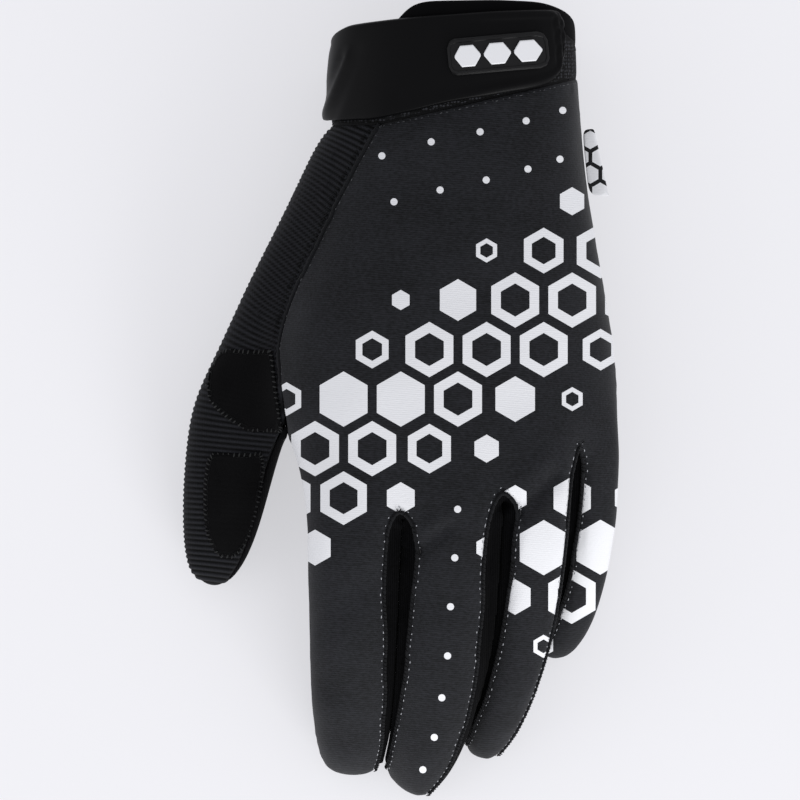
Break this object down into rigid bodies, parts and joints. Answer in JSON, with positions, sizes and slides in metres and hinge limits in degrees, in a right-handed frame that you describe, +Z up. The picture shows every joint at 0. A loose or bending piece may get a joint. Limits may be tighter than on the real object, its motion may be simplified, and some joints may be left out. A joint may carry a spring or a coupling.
{
  "type": "riding glove",
  "caption": "Left-hand full-finger riding glove with a fastened wrist strap, printed back and ribbed thumb.",
  "frame": {"origin": "middle of the glove's box, on the surface that it lies on", "axes": "+Y from the fingertips to the cuff, +Z up out of the back of the hand, +X to the little finger's side"},
  "size_m": [0.1228, 0.2236, 0.0531],
  "materials": {
    "back_panel": "printed stretch cloth, satin, charcoal with a white print",
    "palm_panel": "plain synthetic suede, black",
    "thumb_back": "ribbed stretch cloth, near black",
    "thumb_front": "plain knit, near black",
    "fourchette": "plain knit, near black",
    "cuff": "open looped mesh, black",
    "collar": "smooth neoprene, black",
    "wrist_strap": "smooth moulded strap, matte black",
    "badge": "moulded plate, satin black",
    "badge_marks": "raised, matte white",
    "patches": "suede, deep black",
    "side_tab": "woven tape, black and white"
  },
  "bodies": {
    "root": {"back_panel": "back_panel", "palm_panel": "palm_panel", "thumb_back": "thumb_back", "thumb_front": "thumb_front", "fourchette_index": "fourchette", "fourchette_middle": "fourchette", "fourchette_ring": "fourchette", "cuff": "cuff", "collar": "collar", "wrist_strap": "wrist_strap", "badge": "badge", "badge_mark_1": "badge_marks", "badge_mark_2": "badge_marks", "badge_mark_3": "badge_marks", "thumb_web_patch": "patches", "thumb_tip_patch": "patches", "side_tab": "side_tab"}
  },
  "joints": []
}
